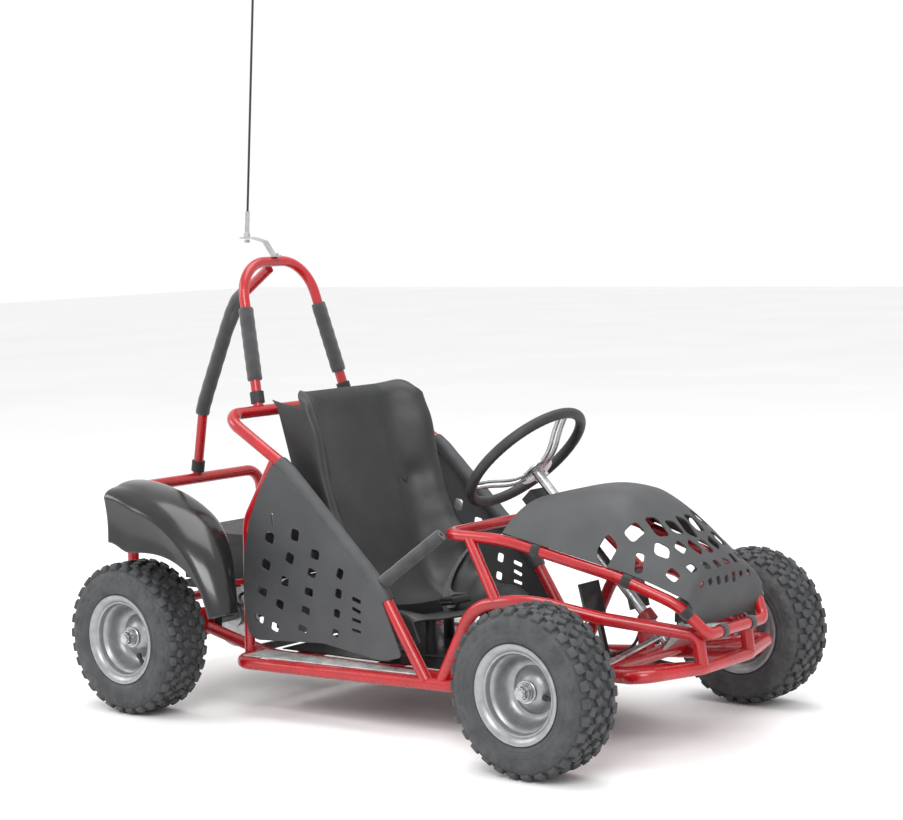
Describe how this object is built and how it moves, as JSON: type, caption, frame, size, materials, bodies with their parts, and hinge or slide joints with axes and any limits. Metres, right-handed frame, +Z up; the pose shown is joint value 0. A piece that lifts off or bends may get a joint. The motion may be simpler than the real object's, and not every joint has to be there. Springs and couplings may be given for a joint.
{
  "type": "kart chassis",
  "caption": "Electric off-road go-kart: bent-tube frame with roll bar, bucket seat, hood, side panels, steering gear, pedals, chain-driven rear axle and knobby wheels",
  "frame": {"origin": "centre of the bounding box in plan, on the ground under the tyres", "axes": "+X is forward, +Y is to the kart's left, +Z is up"},
  "size_m": [1.4602, 0.888, 1.5481],
  "materials": {
    "frame_red": "glossy powder coat over steel tube",
    "foam_black": "closed-cell foam sleeve, matt",
    "socket_rubber": "moulded rubber cup",
    "zinc_steel": "zinc plated",
    "whip_fibreglass": "pulled glass fibre rod",
    "seat_plastic": "moulded, fine leather grain",
    "belt_webbing": "woven webbing",
    "buckle_plastic": "moulded",
    "cover_plastic": "flexible plastic sheet, fine grain",
    "strap_webbing": "hook and loop strap",
    "pan_black": "black powder coat",
    "tread_aluminium": "chequer plate",
    "guard_gloss": "polished black plastic",
    "box_plastic": "moulded box",
    "motor_black": "satin black",
    "chain_steel": "oiled roller chain",
    "cable_black": "sheathed cable",
    "pedal_black": "satin black",
    "grip_rubber": "moulded foam-rubber grip with silver spokes",
    "axle_steel": "turned steel",
    "rim_silver": "silver enamel on pressed steel",
    "tyre_rubber": "knobby off-road tyre"
  },
  "bodies": {
    "chassis": {"floor_frame": "frame_red", "side_frame_right": "frame_red", "side_frame_left": "frame_red", "nose_hoop": "frame_red", "mid_rail_right": "frame_red", "mid_rail_left": "frame_red", "hood_rail_right": "frame_red", "hood_rail_left": "frame_red", "dash_hoop": "frame_red", "shoulder_hoop": "frame_red", "rear_hoop": "frame_red", "roll_bar": "frame_red", "roll_brace": "frame_red", "roll_sockets": "socket_rubber", "pad_right": "foam_black", "pad_left": "foam_black", "pad_brace": "foam_black", "side_bar_right": "foam_black", "side_bar_left": "foam_black", "flag_bracket": "zinc_steel", "flag_whip": "whip_fibreglass", "seat_shell": "seat_plastic", "seat_belt": "belt_webbing", "belt_buckle": "buckle_plastic", "side_panel_right": "cover_plastic", "side_panel_left": "cover_plastic", "hood": "cover_plastic", "hood_straps": "strap_webbing", "floor_pan": "pan_black", "tread_plate_right": "tread_aluminium", "tread_plate_left": "tread_aluminium", "mudguard_right": "guard_gloss", "mudguard_left": "guard_gloss", "battery_box": "box_plastic", "dash_box": "box_plastic", "motor": "motor_black", "drive_chain": "chain_steel", "axle_carrier_right": "frame_red", "axle_carrier_left": "frame_red", "brake_caliper": "zinc_steel", "front_beam": "frame_red", "brake_cable": "cable_black"},
    "steering": {"steering_wheel": "grip_rubber", "steering_column": "zinc_steel"},
    "knuckle_r": {"knuckle_right": "frame_red"},
    "knuckle_l": {"knuckle_left": "frame_red"},
    "tie_rod_r": {"tie_rod_right": "zinc_steel"},
    "tie_rod_l": {"tie_rod_left": "zinc_steel"},
    "wheel_front_r": {"rim_front_right": "rim_silver", "tyre_front_right": "tyre_rubber"},
    "wheel_front_l": {"rim_front_left": "rim_silver", "tyre_front_left": "tyre_rubber"},
    "rear_axle_set": {"rear_axle": "axle_steel", "rim_rear_right": "rim_silver", "rim_rear_left": "rim_silver", "tyre_rear_right": "tyre_rubber", "tyre_rear_left": "tyre_rubber"},
    "pinion": {"motor_pinion": "axle_steel"},
    "pedal_throttle": {"throttle_pedal": "pedal_black"},
    "pedal_brake": {"brake_pedal": "pedal_black"}
  },
  "joints": [
    {"name": "steering_turn", "type": "hinge", "parent": "chassis", "child": "steering", "pos_m": [0.56, 0, 0.188], "axis": [-0.6947, 0, 0.7193], "range_deg": [-30, 30]},
    {"name": "kingpin_right", "type": "hinge", "parent": "chassis", "child": "knuckle_r", "pos_m": [0.515, -0.285, 0.16], "axis": [0, 0, 1], "range_deg": [-15, 15]},
    {"name": "kingpin_left", "type": "hinge", "parent": "chassis", "child": "knuckle_l", "pos_m": [0.515, 0.285, 0.16], "axis": [0, 0, 1], "range_deg": [-15, 15]},
    {"name": "tie_rod_end_right", "type": "hinge", "parent": "knuckle_r", "child": "tie_rod_r", "pos_m": [0.585, -0.268, 0.186], "axis": [0, 0, 1], "range_deg": [-15, 15]},
    {"name": "tie_rod_end_left", "type": "hinge", "parent": "knuckle_l", "child": "tie_rod_l", "pos_m": [0.585, 0.268, 0.186], "axis": [0, 0, 1], "range_deg": [-15, 15]},
    {"name": "wheel_spin_front_right", "type": "hinge", "parent": "knuckle_r", "child": "wheel_front_r", "pos_m": [0.515, -0.372, 0.16], "axis": [0, 1, 0], "continuous": true},
    {"name": "wheel_spin_front_left", "type": "hinge", "parent": "knuckle_l", "child": "wheel_front_l", "pos_m": [0.515, 0.372, 0.16], "axis": [0, 1, 0], "continuous": true},
    {"name": "rear_axle_spin", "type": "hinge", "parent": "chassis", "child": "rear_axle_set", "pos_m": [-0.515, 0, 0.16], "axis": [0, 1, 0], "continuous": true},
    {"name": "pinion_spin", "type": "hinge", "parent": "chassis", "child": "pinion", "pos_m": [-0.385, 0, 0.192], "axis": [0, 1, 0], "continuous": true},
    {"name": "throttle_press", "type": "hinge", "parent": "chassis", "child": "pedal_throttle", "pos_m": [0.47, -0.074, 0.163], "axis": [0, 1, 0], "range_deg": [0, 18], "stiffness_Nm_per_rad": 3},
    {"name": "brake_press", "type": "hinge", "parent": "chassis", "child": "pedal_brake", "pos_m": [0.47, 0.074, 0.163], "axis": [0, 1, 0], "range_deg": [0, 16], "stiffness_Nm_per_rad": 5}
  ],
  "couplings": [
    {"joint": "kingpin_right", "follows": "steering_turn", "ratio": 0.5},
    {"joint": "kingpin_left", "follows": "steering_turn", "ratio": 0.5},
    {"joint": "tie_rod_end_right", "follows": "steering_turn", "ratio": -0.5},
    {"joint": "tie_rod_end_left", "follows": "steering_turn", "ratio": -0.5},
    {"joint": "pinion_spin", "follows": "rear_axle_spin", "ratio": 6}
  ]
}
